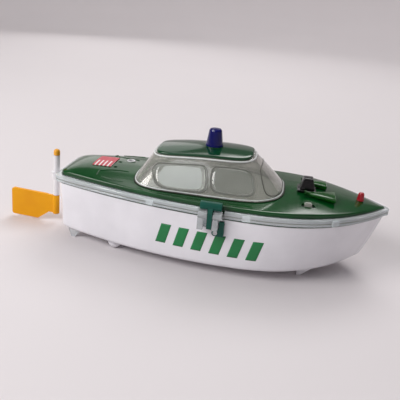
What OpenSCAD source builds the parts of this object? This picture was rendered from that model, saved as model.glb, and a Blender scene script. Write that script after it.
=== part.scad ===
// Battery-driven toy patrol boat: white hull, clear gunwale rim, lift-off green deck with a clear cabin.
// Millimetres. +X is the bow, +Y is port, +Z is up. The boat stands on its feet at Z = 0.
// Stations (x) are measured from the aft face of the rim, and in_frame() moves them to the origin.

/* [Hull] */
// Length of the gunwale rim, transom to bow
rim_len = 320; // [300:1:340]
// Greatest width over the rim
rim_w = 126.5; // [116:0.5:134]
// Width of the rim at the transom
transom_w = 62; // [54:0.5:70]
// Height of the hull's top edge above the ground
hull_top = 60; // [58:0.5:64]
// Height of the hull's flat bottom above the ground
hull_bottom = 10.5; // [9:0.5:14]
// Thickness of the hull's wall
hull_wall = 2.2; // [1.8:0.1:3]
// How far the hull's side lies inside the rim's outer face
hull_inset = 1.6; // [1:0.1:3]

/* [Rim and deck] */
// Height of the clear rim
rim_h = 6; // [5:0.5:8]
// Width of the clear rim outside the deck's edge
rim_wide = 4.8; // [4:0.1:6]
// Thickness of the deck
deck_wall = 2; // [1.6:0.1:2.6]

/* [Cabin] */
// Station of the cabin's aft end at its base
cabin_aft = 80; // [76:1:84]
// Station of the cabin's forward end at its base
cabin_fore = 221; // [214:1:224]
// Half width of the cabin at its base
cabin_half = 44.5; // [41:0.5:46]
// Half width of the roof panel
roof_half = 25; // [22:0.5:26]
// Height of the roof panel's highest point
roof_top = 106; // [102:0.5:110]

/* [Rudder] */
// Station of the rudder's axis, at mid height of its tube
rudder_x = -12.3; // [-14:0.1:-11]
// Forward lean of the rudder's axis, degrees
rudder_rake = 3; // [0:0.5:5]
// Length of the blade behind its axis
blade_len = 49.5; // [44:0.5:54]

/* [Drive] */
// Height of the propeller shaft
shaft_z = 25.5; // [25:0.5:30]
// Radius of the propeller
prop_r = 12; // [9:0.5:13]
// Radius of the motor's case
motor_r = 12; // [10:0.5:12]

/* [Latches] */
// Station of both latches
latch_x = 160; // [150:1:170]

/* [Hidden] */
$fn = 64;
mid_x = 127.4;
rim_z = hull_top;
deck_z = rim_z + rim_h;
ledge_h = 2.4;
seal_h = 0.8;
deck_base = rim_z + ledge_h + seal_h + 0.1;
deck_lip = rim_wide + 3;
widest = 0.6;
bow_power = 2.42;
bow_ease = 0.94;
corner_r = 6;
ring_steps = 20;
shaft_r = 1;
fit = 0.05;
pivot_y = 66.2;
pivot_z = 52;
bar_r = 3.8;
bar_y = 62.3;
bar_z = 70.3;
cell_r = 13;
cell_len = 50;
cell_z = 28.1;
knob_x = 242;
lamp_x = 292.5;
horn_x = 255;
horn_y = 16;
tab_x = 165.5;
tab_z = 46;

module in_frame() { translate([-mid_x, 0, 0]) children(); }
module both_sides() { children(); mirror([0, 1, 0]) children(); }

// ---- shared shapes -------------------------------------------------------------------

// Cosine spacing puts more stations at the transom's corners and at the bow
function spaced(i) = (1 - cos(180 * i / ring_steps)) / 2;

// Half width at t = 0 (transom) to 1 (bow) of the outline that lies "inset" inside the rim
function half_at(t, inset) =
    let (wide = rim_w / 2 - inset, stern = transom_w / 2 - inset)
    t < widest ? wide - (wide - stern) * pow((widest - t) / widest, 2)
               : wide * pow(max(0, 1 - pow((t - widest) / (1 - widest), bow_power)), bow_ease);

// The transom's corners are rounded
function corner_cut(x, r) = x >= r ? 0 : r - sqrt(max(0, r * r - (r - x) * (r - x)));

// One side of an outline, from the transom to the bow
function side_points(inset, stern, bow) = [for (i = [0:ring_steps])
    let (t = spaced(i), x = stern + (rim_len - stern - bow) * t)
    [x, max(0.3, half_at(t, inset) - corner_cut(x - stern, corner_r))]];

function outline(inset, stern, bow) =
    let (side = side_points(inset, stern, bow))
    concat([for (p = side) [p[0], -p[1]]], [for (i = [ring_steps:-1:0]) side[i]]);

// An outline inset evenly all round
function inset_outline(inset) = outline(inset, inset, inset);

module ring(z, h, outer, inner) {
    translate([0, 0, z]) linear_extrude(h) difference() {
        polygon(inset_outline(outer));
        polygon(inset_outline(inner));
    }
}

// Two triangles between each pair of neighbouring rings; "turns" counts the bands
function bands(n, m, turns) = [for (k = [0:turns - 1], i = [0:n - 1], half = [0, 1])
    let (a = k * n + i, b = k * n + (i + 1) % n, c = ((k + 1) % m) * n + i, d = ((k + 1) % m) * n + (i + 1) % n)
    half == 0 ? [a, d, b] : [a, c, d]];

// A closed skin over rings that all have the same number of points
module skin(rings) {
    n = len(rings[0]);
    m = len(rings);
    polyhedron(points = [for (r = rings, p = r) p],
        faces = concat(bands(n, m, m - 1), [[for (i = [0:n - 1]) i]], [[for (i = [n - 1:-1:0]) (m - 1) * n + i]]));
}

// Rings whose last one joins the first, like the wall of a frame
module frame_skin(rings) {
    n = len(rings[0]);
    m = len(rings);
    polyhedron(points = [for (r = rings, p = r) p], faces = bands(n, m, m));
}

// Plan curve of the cabin: rounded at the bow end, squarer aft
function cabin_plan(aft, fore, half, power_aft, power_fore, steps) =
    let (cx = (aft + fore) / 2, a = (fore - aft) / 2)
    [for (i = [0:steps - 1])
        let (ang = 360 * i / steps, c = cos(ang), s = sin(ang), e = 2 / (c > 0 ? power_fore : power_aft))
        [cx + a * sign(c) * pow(abs(c), e), half * sign(s) * pow(abs(s), e)]];

// The deck's upright side, and its crown along the centreline above that side
function deck_band(x) = lookup(x, [[4.8, 3], [16, 4.2], [70, 4.2], [110, 3.6], [200, 3.6], [245, 4.2], [290, 2.5], [315.2, 0.3]]);
function deck_crown(x) = lookup(x, [[4.8, 0], [10, 2.6], [18, 4.6], [30, 5.7], [46, 6], [80, 5], [105, 0.8],
    [200, 0.6], [224, 2.2], [242, 3.1], [262, 3], [292, 1.8], [308, 0.9], [315.2, 0]]);
function deck_half(x) = half_at((x - rim_wide) / (rim_len - 2 * rim_wide), rim_wide) - corner_cut(x - rim_wide, corner_r);
function deck_height(x, y) =
    deck_z + deck_band(x) + deck_crown(x) * (1 - pow(min(1, abs(y) / max(0.3, deck_half(x))), 2.2));
function roof_height(x, y) = roof_top - 0.004 * y * y - 0.0012 * (x - 162) * (x - 162);

// ---- hull ----------------------------------------------------------------------------

// Level of the hull: the transom and the stem are drawn in towards the bottom
function hull_level(z, inset) =
    let (down = (hull_top - z) / (hull_top - hull_bottom), in = inset - hull_inset)
    [for (p = outline(inset, 3.6 + 1.2 * down + in, 4 + 18 * pow(max(0, down), 1.15) + in)) [p[0], p[1], z]];

// From the rounded bottom edge to the top edge
function hull_side(wall, base) =
    concat([for (a = [90:-22.5:0]) let (r = 8 - wall) hull_level(base + r * (1 - sin(a)), hull_inset + wall + r * (1 - cos(a)))],
        [for (z = [base + 26, hull_top]) hull_level(z, hull_inset + wall)]);
function backwards(list) = [for (i = [len(list) - 1:-1:0]) list[i]];

module hull_shell() {
    color("white") in_frame() difference() {
        skin(concat(hull_side(0, hull_bottom), backwards(hull_side(hull_wall, hull_bottom + hull_wall))));
        translate([0, 0, shaft_z]) rotate([0, 90, 0]) cylinder(h = 20, r = 3, center = true);
        both_sides() translate([tab_x, -60, tab_z]) rotate([90, 0, 0]) cylinder(h = 8, r = 1.05, center = true);
    }
}

module gunwale_rim() {
    color([0.85, 0.9, 0.9, 0.4]) in_frame() difference() {
        union() {
            ring(rim_z + 0.05, ledge_h - 0.05, 0, rim_wide + 5);
            ring(rim_z + ledge_h, 0.6, 0.5, rim_wide - 0.3);
            ring(rim_z + ledge_h + 0.6, 1.6, 0.1, rim_wide - 0.3);
            ring(rim_z + ledge_h + 2.2, 0.5, 0.6, rim_wide - 0.3);
            ring(rim_z + ledge_h + 2.7, rim_h - ledge_h - 2.9, 0.3, rim_wide - 0.3);
        }
        both_sides() translate([latch_x - 12, -rim_w / 2 - 1, rim_z - 1]) cube([24, 3.4, rim_h + 2]);
        both_sides() translate([latch_x - 12, -rim_w / 2 - 1, rim_z + ledge_h]) cube([24, 9, rim_h]);
    }
}

module deck_seal() { color("dimgray") in_frame() ring(rim_z + ledge_h + 0.02, seal_h, rim_wide + 0.6, rim_wide + 4.4); }

module stern_skids() {
    color([0.75, 0.78, 0.8, 0.6]) in_frame() both_sides() translate([12, -24, 0])
        rotate([90, 0, 0]) linear_extrude(3) polygon([[2.5, 0], [7, 0], [15, hull_bottom - 0.1], [0, hull_bottom - 0.1]]);
}

module hull_feet() {
    color("white") in_frame() both_sides() translate([64, -34, 0]) {
        translate([0, 0, 7]) cylinder(h = hull_bottom - 7.1, r = 6.5);
        intersection() {
            translate([0, 0, 7]) sphere(r = 7);
            translate([-8, -8, 0]) cube([16, 16, 7]);
        }
    }
}

module bow_skegs() {
    color("white") in_frame() both_sides() translate([243, -32, 0])
        rotate([90, 0, 0]) linear_extrude(2.4) polygon([[0, 0], [3, 0], [24, hull_bottom - 0.1], [-1, hull_bottom - 0.1]]);
}

// ---- rudder --------------------------------------------------------------------------

// Local frame of the rudder: its axis is Z, and z = 0 is 41 above the ground
module rudder_frame() { in_frame() translate([rudder_x, 0, 41]) rotate([0, rudder_rake, 0]) children(); }

module rudder_tube() {
    color("white") rudder_frame() difference() {
        translate([0, 0, -9.6]) cylinder(h = 44, r = 3.2);
        translate([0, 0, -11]) cylinder(h = 47, r = 1.2 + fit);
    }
}

module rudder_bracket() {
    color("white") rudder_frame() difference() {
        union() {
            translate([0, 0, 10]) cylinder(h = 6, r = 5.2);
            translate([3, -3, 10]) cube([14.4, 6, 6]);
        }
        translate([0, 0, 8]) cylinder(h = 20, r = 3.25);
        translate([16.6, -10, 0]) rotate([0, -rudder_rake, 0]) translate([-1.6, 0, -10]) cube([10, 20, 60]);
    }
}

// Side view of the blade, with rounded corners
module blade_shape() {
    offset(2.5) offset(-2.5) union() {
        translate([-blade_len, -40.6]) square([blade_len - 20, 30.1]);
        polygon([[-30, -40.6], [-20, -40.6], [-8, -31], [-8, -10.5], [-30, -10.5]]);
    }
    translate([-12, -30.5]) square([12, 19.5]);
}

module rudder_blade() {
    color("goldenrod") rudder_frame() difference() {
        union() {
            rotate([90, 0, 0]) linear_extrude(3, center = true) blade_shape();
            translate([0, 0, -31]) cylinder(h = 20.9, r = 3.4);
        }
        translate([0, 0, -42]) cylinder(h = 40, r = 1.21);
    }
}

module rudder_shaft() { color("silver") rudder_frame() translate([0, 0, -30.8]) cylinder(h = 67, r = 1.2); }

module rudder_cap() {
    color("orange") rudder_frame() translate([0, 0, 34.8]) difference() {
        union() {
            cylinder(h = 3, r = 3.2);
            intersection() { translate([0, 0, 3]) sphere(r = 3.2); cylinder(h = 9, r = 4); }
        }
        translate([0, 0, -1]) cylinder(h = 2.5, r = 1.21);
    }
}

// ---- drive ---------------------------------------------------------------------------

// Local frame of the drive: Z runs forward along the shaft, z = 0 is at the rim's aft face
module shaft_frame() { in_frame() translate([0, 0, shaft_z]) rotate([0, 90, 0]) children(); }
module round_bar(from, to, r) { translate([0, 0, from]) cylinder(h = to - from, r = r); }

module stern_tube() {
    color("goldenrod") shaft_frame() difference() {
        union() { round_bar(2.5, 42, 2.95); round_bar(6.8, 9.2, 6); }
        round_bar(0, 50, shaft_r + fit);
    }
}

module propeller() {
    color("white") shaft_frame() difference() {
        union() {
            round_bar(-6.5, 0.6, 2.6);
            for (a = [0:120:240]) rotate([0, 0, a]) intersection() {
                translate([prop_r / 2, 0, -3]) rotate([38, 0, 0]) translate([0, 0, -0.5])
                    linear_extrude(1) scale([1, 0.7]) circle(r = prop_r / 2 - 0.05);
                round_bar(-7, 1, prop_r);
            }
        }
        round_bar(-5, 3, shaft_r + 0.01);
    }
}

module prop_shaft() { color("silver") shaft_frame() round_bar(-4.9, 52, shaft_r); }

module shaft_coupling() {
    color("black") shaft_frame() difference() {
        round_bar(44, 62, 2.8);
        round_bar(43, 63, shaft_r + 0.01);
    }
}

module motor_case() {
    color("silver") shaft_frame() difference() {
        union() { round_bar(66, 95, motor_r); round_bar(64, 66.1, 4); }
        round_bar(67.2, 96, motor_r - 1);
        round_bar(60, 70, shaft_r + fit);
    }
}

module motor_end_cap() {
    color("black") shaft_frame() difference() {
        union() { round_bar(95.05, 98, motor_r); round_bar(92.5, 95.1, motor_r - 1.05); }
        round_bar(92, 96.5, shaft_r + fit);
    }
}

module motor_rotor() {
    color("peru") shaft_frame() { round_bar(54, 95.9, shaft_r); round_bar(71, 88, motor_r - 2.5); round_bar(88, 91.5, 3.5); }
}

module motor_saddle() {
    color("gainsboro") shaft_frame() difference() {
        translate([0, -17, 72]) cube([shaft_z - hull_bottom - hull_wall - 0.1, 34, 16]);
        round_bar(70, 90, motor_r + 0.05);
        for (y = [-15, 15]) translate([-5, y, 80]) rotate([0, 90, 0]) cylinder(h = 40, r = 1.05);
    }
}

// A strap over the motor, screwed down to the saddle
module motor_clamp() {
    color("silver") shaft_frame() difference() {
        union() {
            intersection() {
                round_bar(76, 84, motor_r + 0.9);
                translate([-20, -20, 70]) cube([19.9, 40, 20]);
            }
            translate([-0.9, -18, 76]) cube([0.8, 36, 8]);
        }
        round_bar(70, 90, motor_r + 0.05);
        for (y = [-15, 15]) translate([-5, y, 80]) rotate([0, 90, 0]) cylinder(h = 40, r = 1.05);
    }
}

module saddle_screws() {
    color("silver") shaft_frame() for (y = [-15, 15]) translate([0, y, 80]) rotate([0, 90, 0]) {
        translate([0, 0, -2.1]) cylinder(h = 1.2, r = 2);
        translate([0, 0, -1]) cylinder(h = 13, r = 1);
    }
}

// ---- batteries -----------------------------------------------------------------------

tray_x = 108;
tray_len = cell_len + 14;
tray_base = hull_bottom + hull_wall + 0.15;

module battery_tray() {
    color("dimgray") in_frame() difference() {
        translate([tray_x, -30, tray_base]) cube([tray_len, 60, 16]);
        translate([tray_x + 2, -28, cell_z]) cube([tray_len - 4, 56, 20]);
        for (y = [-14, 14]) translate([tray_x + 2, y, cell_z]) rotate([0, 90, 0]) cylinder(h = tray_len - 4, r = cell_r + 0.2);
        for (x = [tray_x + 2, tray_x + tray_len - 2.7]) translate([x, -26.2, cell_z - 7.2]) cube([0.7, 52.4, 20]);
    }
}

module battery_cells() {
    color("darkslategray") in_frame() for (y = [-14, 14]) translate([tray_x + 9, y, cell_z]) rotate([0, 90, 0]) {
        cylinder(h = cell_len - 1.5, r = cell_r);
        translate([0, 0, y > 0 ? cell_len - 1.6 : -1.5]) cylinder(h = 1.6, r = 3.5);
    }
}

// A coil spring presses on the flat end of each cell
module battery_springs() {
    color("silver") in_frame() for (y = [-14, 14], k = [0:2])
        translate([y > 0 ? tray_x + 3.2 + 1.3 * k : tray_x + tray_len - 3.2 - 1.3 * k, y, cell_z])
            rotate([0, y > 0 ? 90 : -90, 0]) rotate_extrude() translate([7 - 1.5 * k, 0]) circle(r = 0.5);
}

module battery_plates() {
    color("silver") in_frame() {
        translate([tray_x + 2.05, -26, cell_z - 7]) cube([0.5, 52, 14]);
        for (y = [-14, 14]) translate([tray_x + tray_len - 2.55, y - 9, cell_z - 7]) cube([0.5, 18, 14]);
    }
}

// Flat strips carry the current from the tray to the motor
module power_strips() {
    color("goldenrod") in_frame() for (y = [-8, 8]) {
        translate([98.1, y - 2, shaft_z + 6]) cube([9.8, 4, 0.5]);
        translate([107.4, y - 2, shaft_z + 6]) cube([0.5, 4, 6]);
    }
}

// ---- latches -------------------------------------------------------------------------

// Two clear cheeks carry the latch's pin, and a plate joins them to the hull's side
module cheek_pair() {
    difference() {
        union() {
            for (x = [latch_x - 10.5, latch_x + 2.7]) {
                translate([x, -69, 49.6]) cube([5.1, 6, 10.2]);
                translate([x, -66.5, 59.7]) cube([7.8, 5, 6.1]);
                translate([x, -66, 62]) rotate([0, 90, 0]) cylinder(h = 7.8, r = 3);
            }
            translate([latch_x - 10.5, -63.2, 49.6]) cube([18.3, 4, 10.2]);
        }
        translate([0, 0, 40]) linear_extrude(30) polygon(inset_outline(hull_inset - 0.35));
        translate([latch_x - 12, -pivot_y, pivot_z]) rotate([0, 90, 0]) cylinder(h = 24, r = 1.01);
    }
}

module latch_cheeks() { color([0.85, 0.9, 0.9, 0.4]) in_frame() both_sides() cheek_pair(); }

module latch_pins() {
    color("silver") in_frame() both_sides()
        translate([latch_x - 10.4, -pivot_y, pivot_z]) rotate([0, 90, 0]) cylinder(h = 18, r = 1);
}

// T-shaped latch: a cross bar on a flat stem that turns on the pin
module latch() {
    difference() {
        union() {
            translate([latch_x - 9.5, -bar_y, bar_z]) rotate([0, 90, 0]) cylinder(h = 19, r = bar_r);
            translate([latch_x - 2.2, -pivot_y, pivot_z]) rotate([0, 90, 0]) cylinder(h = 4.4, r = 2.4);
            translate([latch_x - 2.2, 0, 0]) rotate([90, 0, 90]) linear_extrude(4.4)
                polygon([[-pivot_y - 2.4, pivot_z], [-pivot_y + 2, pivot_z], [-pivot_y + 2, bar_z - 4.7],
                    [-bar_y, bar_z], [-bar_y - 3, bar_z], [-pivot_y - 2.4, bar_z - 5.3]]);
        }
        translate([latch_x - 12, -pivot_y, pivot_z]) rotate([0, 90, 0]) cylinder(h = 24, r = 1 + fit);
    }
}

module latch_starboard() { color("teal") in_frame() latch(); }
module latch_port() { color("teal") in_frame() mirror([0, 1, 0]) latch(); }

// A flat tab that turns on a rivet, beside and under the latch
module turn_tab() {
    translate([tab_x, -62.2, tab_z]) rotate([90, 0, 0]) difference() {
        linear_extrude(2.2) {
            circle(r = 3.2);
            translate([0, -3.2]) square([7.6, 6.4]);
            translate([2.8, -3.2]) square([4.8, 14.2]);
        }
        translate([0, 0, -1]) cylinder(h = 5, r = 1 + fit);
    }
}

module turn_tab_starboard() { color("teal") in_frame() turn_tab(); }
module turn_tab_port() { color("teal") in_frame() mirror([0, 1, 0]) turn_tab(); }

module tab_rivets() {
    color("silver") in_frame() both_sides() translate([tab_x, -64.5, tab_z]) rotate([-90, 0, 0]) {
        cylinder(h = 7, r = 1);
        translate([0, 0, -0.6]) cylinder(h = 0.65, r = 2);
    }
}

// ---- deck ----------------------------------------------------------------------------

// Opening under the cabin, with the same number of points as the deck's outline
function opening_side(shrink) = [for (i = [0:ring_steps])
    let (t = spaced(i), aft = cabin_aft + shrink, fore = cabin_fore - shrink, p = t < 0.5 ? 6 : 3.2)
    [aft + (fore - aft) * t, max(0.3, (cabin_half - shrink) * pow(max(0, 1 - pow(abs(2 * t - 1), p)), 1 / p))]];
function opening(shrink) =
    let (side = opening_side(shrink))
    concat([for (p = side) [p[0], -p[1]]], [for (i = [ring_steps:-1:0]) side[i]]);

// A ring of the deck: s = 0 lies on the outline with this inset, s = 1 on the opening's edge
function deck_ring(s, inset, drop) =
    let (a = inset_outline(inset), b = opening(5))
    [for (i = [0:len(a) - 1]) let (x = a[i][0] * (1 - s) + b[i][0] * s, y = a[i][1] * (1 - s) + b[i][1] * s)
        [x, y, deck_height(x, y) - drop]];
function level_ring(inset, z) = [for (p = inset_outline(inset)) [p[0], p[1], z]];

module deck_shell() {
    color("darkgreen") in_frame() difference() {
        union() {
            frame_skin(concat([level_ring(rim_wide, deck_base)],
                [for (s = [0, 0.1, 0.25, 0.5, 0.75, 0.9, 1]) deck_ring(s, rim_wide, 0)],
                [for (s = [1, 0.75, 0.5, 0.25, 0]) deck_ring(s, deck_lip, deck_wall)],
                [level_ring(deck_lip, deck_base)]));
            both_sides() translate([latch_x - 8, -59.5, deck_base]) cube([16, 4, 4]);
        }
        translate([knob_x - 6.3, -2.5, 60]) cube([12.6, 5, 30]);
        translate([lamp_x, 0, 60]) cylinder(h = 30, r = 2.05);
        for (y = [-horn_y, horn_y]) translate([horn_x, y, 60]) cylinder(h = 30, r = 2.05);
        translate([65, 11, 60]) cylinder(h = 30, r = 4.05);
        for (y = [3, -12]) translate([56, y, 60]) cylinder(h = 30, r = 1.9);
        both_sides() translate([239.5, -37.5, 60]) cube([7, 5, 30]);
    }
}

module cabin_floor() {
    color("gray") in_frame() translate([0, 0, deck_z + 2.4]) linear_extrude(1.6) polygon(opening(5.1));
}

// Rings of the cabin from its base on the deck to the edge of the roof
function cabin_ring(k, inset) =
    let (aft = cabin_aft + [0, 0.6, 8, 15.5][k] + inset, fore = cabin_fore - [0, 0.6, 16, 31.5][k] - inset,
        half = cabin_half - [0, 0.4, 9.5, 19.8][k] - inset)
    [for (p = cabin_plan(aft, fore, half, [6, 6, 5, 4.5][k], [3.2, 3.2, 3.4, 3.6][k], 36))
        let (low = deck_height(p[0], p[1]) + 0.5, top = roof_height(p[0], p[1]) - 2.5)
        [p[0], p[1], k == 0 ? low : k == 1 ? low + 2 : k == 2 ? low + (top - low) * 0.56 : top]];

function lowered(r, d) = [for (p = r) [p[0], p[1], p[2] - d]];

// The canopy's walls; the roof panel closes its open top
module cabin_canopy() {
    color([0.85, 0.88, 0.9, 0.35]) in_frame() frame_skin(concat([for (k = [0:3]) cabin_ring(k, 0)],
        [lowered(cabin_ring(3, 1.8), 0.2), cabin_ring(2, 1.8), cabin_ring(1, 1.8), cabin_ring(0, 1.8)]));
}

// The panel follows the roof's crown, and its rings close in on the middle
function roof_ring(s, lift) =
    [for (p = cabin_plan(143 - 46 * s, 143 + 45.5 * s, roof_half * s, 5, 4, 36)) [p[0], p[1], roof_height(p[0], p[1]) + lift]];

module roof_panel() {
    color("darkgreen") in_frame() difference() {
        union() {
            skin(concat([for (s = [0.12, 0.4, 0.7, 1]) roof_ring(s, -2.3)], [for (s = [1, 0.97, 0.7, 0.4, 0.12]) roof_ring(s, s == 1 ? -0.7 : 0)]));
            translate([150, 0, roof_top - 2]) cylinder(h = 2.1, r = 8.8);
        }
        translate([150, 0, 90]) cylinder(h = 30, r = 5.6);
    }
}

module beacon_lens() {
    color("mediumblue") in_frame() translate([150, 0, roof_top + 0.15]) rotate_extrude()
        polygon([[6.3, 0], [8.4, 0], [8.4, 1.2], [8, 1.6], [6.1, 14.6], [5.2, 16], [0, 16.4], [0, 14.8], [4.6, 14.4], [6.3, 2]]);
}

module beacon_bulb() {
    color("lightyellow") in_frame() translate([150, 0, 0]) {
        translate([0, 0, roof_top + 1.1]) cylinder(h = 6, r = 3);
        translate([0, 0, roof_top + 7.1]) intersection() { sphere(r = 3); cylinder(h = 4, r = 4); }
    }
}

module beacon_holder() {
    color("goldenrod") in_frame() translate([150, 0, 0]) {
        translate([0, 0, roof_top - 10]) cylinder(h = 11, r = 5.5);
        for (y = [-3, 3]) translate([-1, y - 0.25, roof_top - 15]) cube([2, 0.5, 5.1]);
    }
}

module bow_lamp() {
    color("crimson") in_frame() translate([lamp_x, 0, deck_z + 4.5]) rotate_extrude()
        polygon([[0, -5], [2, -5], [2, 0], [3.4, 0], [3.4, 0.8], [2.7, 6.4], [1.9, 7.6], [0, 8]]);
}

// A signal horn: a low flared box with its mouth forward, and a small round bell aft
module horn(reach) {
    translate([horn_x, 0, 0]) {
        translate([0, 0, 69]) cylinder(h = 5, r = 2);
        rotate([90, 0, 0]) linear_extrude(12, center = true)
            polygon([[-11, 73.35], [-11, 76.4], [reach - 2, 77.4], [reach, 76.4], [reach, 73.35]]);
        translate([-15.4, 0, 76.3]) rotate([0, 90, 0]) {
            cylinder(h = 1.6, r = 2.4);
            cylinder(h = 6, r = 1.4);
        }
    }
}

module horn_starboard() { color("green") in_frame() translate([0, -horn_y, 0]) horn(12.6); }
module horn_port() { color("green") in_frame() translate([0, horn_y, 0]) horn(6); }

module switch_knob() {
    color("black") in_frame() translate([knob_x, 0, deck_z + 7.6]) {
        hull() { translate([-7.5, -7, 0]) cube([15, 14, 1]); translate([-6.8, -6.3, 0]) cube([13.6, 12.6, 2]); }
        hull() { translate([-5.5, -5.5, 1.9]) cube([11, 11, 0.5]); translate([-3, -4, 2]) cube([6, 8, 8]); }
        translate([-3, -2.2, -4]) cube([6, 4.4, 4.5]);
    }
}

module switch_body() {
    color("dimgray") in_frame() difference() {
        translate([knob_x - 13, -6, 62.4]) cube([26, 12, 7.7]);
        translate([knob_x - 10.5, -4.5, 64.6]) cube([21, 9, 10]);
    }
}

module switch_contact() {
    color("goldenrod") in_frame() translate([knob_x, 0, 0]) translate([-4, -3, 67.6]) cube([8, 6, 1.9]);
}

// A square post stands in a small well, one on each side of the foredeck
module mooring_cleats() {
    color("silver") in_frame() both_sides() translate([243, -35, 0]) {
        translate([-3.2, -2.3, 66.5]) cube([6.4, 4.6, 7]);
        translate([-2.4, -1.6, 73.4]) cube([4.8, 3.2, 1.1]);
    }
}

// The label lies on the crown of the aft deck
function label_ring(x, lift) = [for (y = [-14:4:14]) [x, y, deck_height(x, y) + lift]];
module deck_label() {
    color("firebrick") in_frame() skin([for (x = [33, 39, 45.5, 52]) concat(label_ring(x, 0.15), [for (i = [7:-1:0]) label_ring(x, 0.55)[i]])]);
}

module vent_cup() {
    color("ivory") in_frame() translate([65, 11, 66]) difference() {
        cylinder(h = 10.2, r = 4);
        translate([0, 0, 1.2]) cylinder(h = 20, r = 3.2);
    }
}

module deck_plug_socket() {
    color("black") in_frame() difference() {
        translate([52.2, -16, 66]) cube([7.6, 23, 5.8]);
        for (y = [3, -12]) translate([56, y, 68]) cylinder(h = 10, r = 1.2);
    }
}

hull_shell();
gunwale_rim();
deck_seal();
stern_skids();
hull_feet();
bow_skegs();
rudder_tube();
rudder_bracket();
rudder_blade();
rudder_shaft();
rudder_cap();
stern_tube();
propeller();
prop_shaft();
shaft_coupling();
motor_case();
motor_rotor();
motor_end_cap();
motor_saddle();
motor_clamp();
saddle_screws();
battery_tray();
battery_cells();
battery_springs();
battery_plates();
power_strips();
latch_cheeks();
latch_pins();
latch_starboard();
latch_port();
turn_tab_starboard();
turn_tab_port();
tab_rivets();
deck_shell();
cabin_floor();
cabin_canopy();
roof_panel();
beacon_lens();
beacon_bulb();
beacon_holder();
bow_lamp();
horn_starboard();
horn_port();
switch_knob();
switch_body();
switch_contact();
mooring_cleats();
deck_label();
vent_cup();
deck_plug_socket();
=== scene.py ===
from math import cos, sin, radians, sqrt, pi

import bmesh
import bpy
from mathutils import Matrix, Vector
from mathutils.bvhtree import BVHTree


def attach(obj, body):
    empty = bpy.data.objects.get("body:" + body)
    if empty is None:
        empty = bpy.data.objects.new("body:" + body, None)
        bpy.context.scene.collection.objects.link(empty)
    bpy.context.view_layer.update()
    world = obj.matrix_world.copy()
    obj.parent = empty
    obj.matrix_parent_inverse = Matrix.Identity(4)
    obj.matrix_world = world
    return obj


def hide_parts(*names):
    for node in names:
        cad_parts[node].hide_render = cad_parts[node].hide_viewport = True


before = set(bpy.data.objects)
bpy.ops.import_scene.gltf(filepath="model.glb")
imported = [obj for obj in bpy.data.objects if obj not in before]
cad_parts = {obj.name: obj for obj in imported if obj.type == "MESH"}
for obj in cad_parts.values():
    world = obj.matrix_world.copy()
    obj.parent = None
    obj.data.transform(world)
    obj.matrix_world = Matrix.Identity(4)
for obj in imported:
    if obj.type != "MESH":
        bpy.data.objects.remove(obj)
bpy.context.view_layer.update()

# Lengths are written in millimetres. Stations run from the aft face of the rim, as in the CAD source.
MM = 0.001
MID = 127.4  # station of the frame's origin
RIM_LENGTH = 320.0
RIM_WIDTH = 126.5
TRANSOM_WIDTH = 62.0
RIM_WIDE = 4.8  # width of the rim outside the deck
HULL_TOP = 60.0
HULL_GAP = 0.3  # the hull's edge stops this far below its top
HULL_WALL = 2.0
DECK_Z = 66.0
DECK_FOOT = 63.35  # height of the deck's lower edge
DECK_WALL = 3.0
DECK_ROUND = 1.1  # radius of the deck's outer edge
WIDEST = 0.6  # where the beam is widest, as a share of the length
SIDE_STEPS = 64
CABIN_STEPS = 96
CURVE_STEPS = 5  # between two points of a smooth path
CHINE = 5.5  # radius of the curve from the hull's side to its bottom
CORNER = 6.0  # radius of the transom's corners
SIDES = ((-1, "starboard"), (1, "port"))

CABIN_AFT = 80
CABIN_FORE = 221
CABIN_HALF = 44.5
CABIN_WALL = 1.7
HOLE_AFT = 85  # the deck's hole under the cabin
HOLE_LENGTH = 131
HOLE_HALF = 39.5
ROOF_TOP = 106
ROOF_MIDDLE = 143
ROOF_HALF = 25
ROOF_CREST = 162  # station of the roof's highest point

LATCH_GAP = (148, 172)  # stations between which the rim is cut away for a latch
LUG_ENDS = (152, 168)
CLEAT_Y = 35
HORN_Y = 15
HORN_AFT = 244
HORN_WIDTH = 5.5  # at the aft end
HORN_FLARE = 0.6  # gain in width for each millimetre forward
SKEG_Y = 33.2

BARS = 6  # printed on each side of the hull
BARS_START = 110
BAR_PITCH = 16.9
BAR_WIDTH = 9.5
BAR_SLANT = 5.2
BAR_HEIGHT = 19.4
BAR_FOOT = 24.6
BAR_FALL = 3.1 / 99.5  # how much lower each bar starts for each millimetre forward

ABEAM = 90  # a start for rays, clear of the side or the top of the boat
AHEAD = 260  # a start for rays, clear of the windscreen


def place(x, y, z):
    return Vector(((x - MID) * MM, y * MM, z * MM))


def lookup(x, table):
    """Straight-line value between the pairs of a table."""
    if x <= table[0][0]:
        return table[0][1]
    for (x0, v0), (x1, v1) in zip(table, table[1:]):
        if x <= x1:
            return v0 + (v1 - v0) * (x - x0) / (x1 - x0)
    return table[-1][1]


# ---- materials ----------------------------------------------------------------------

def linear(code):
    """A six-digit sRGB hex value as a linear colour."""
    parts = [int(code[i:i + 2], 16) / 255 for i in (0, 2, 4)]
    return [p / 12.92 if p <= 0.04045 else ((p + 0.055) / 1.055) ** 2.4 for p in parts] + [1.0]


def add(material, kind, settings=None, **links):
    """Adds a node, sets its sockets or fields, and links its inputs from other nodes' outputs.

    A link named i0 or i1 goes to the socket with that number.
    """
    node = material.node_tree.nodes.new(kind)
    for key, value in (settings or {}).items():
        if isinstance(key, str) and hasattr(node, key):
            setattr(node, key, value)
        else:
            node.inputs[key].default_value = value
    for key, source in links.items():
        numbered = key[0] == "i" and key[1:].isdigit()
        socket = node.inputs[int(key[1:]) if numbered else key]
        material.node_tree.links.new(source, socket)
    return node


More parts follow.
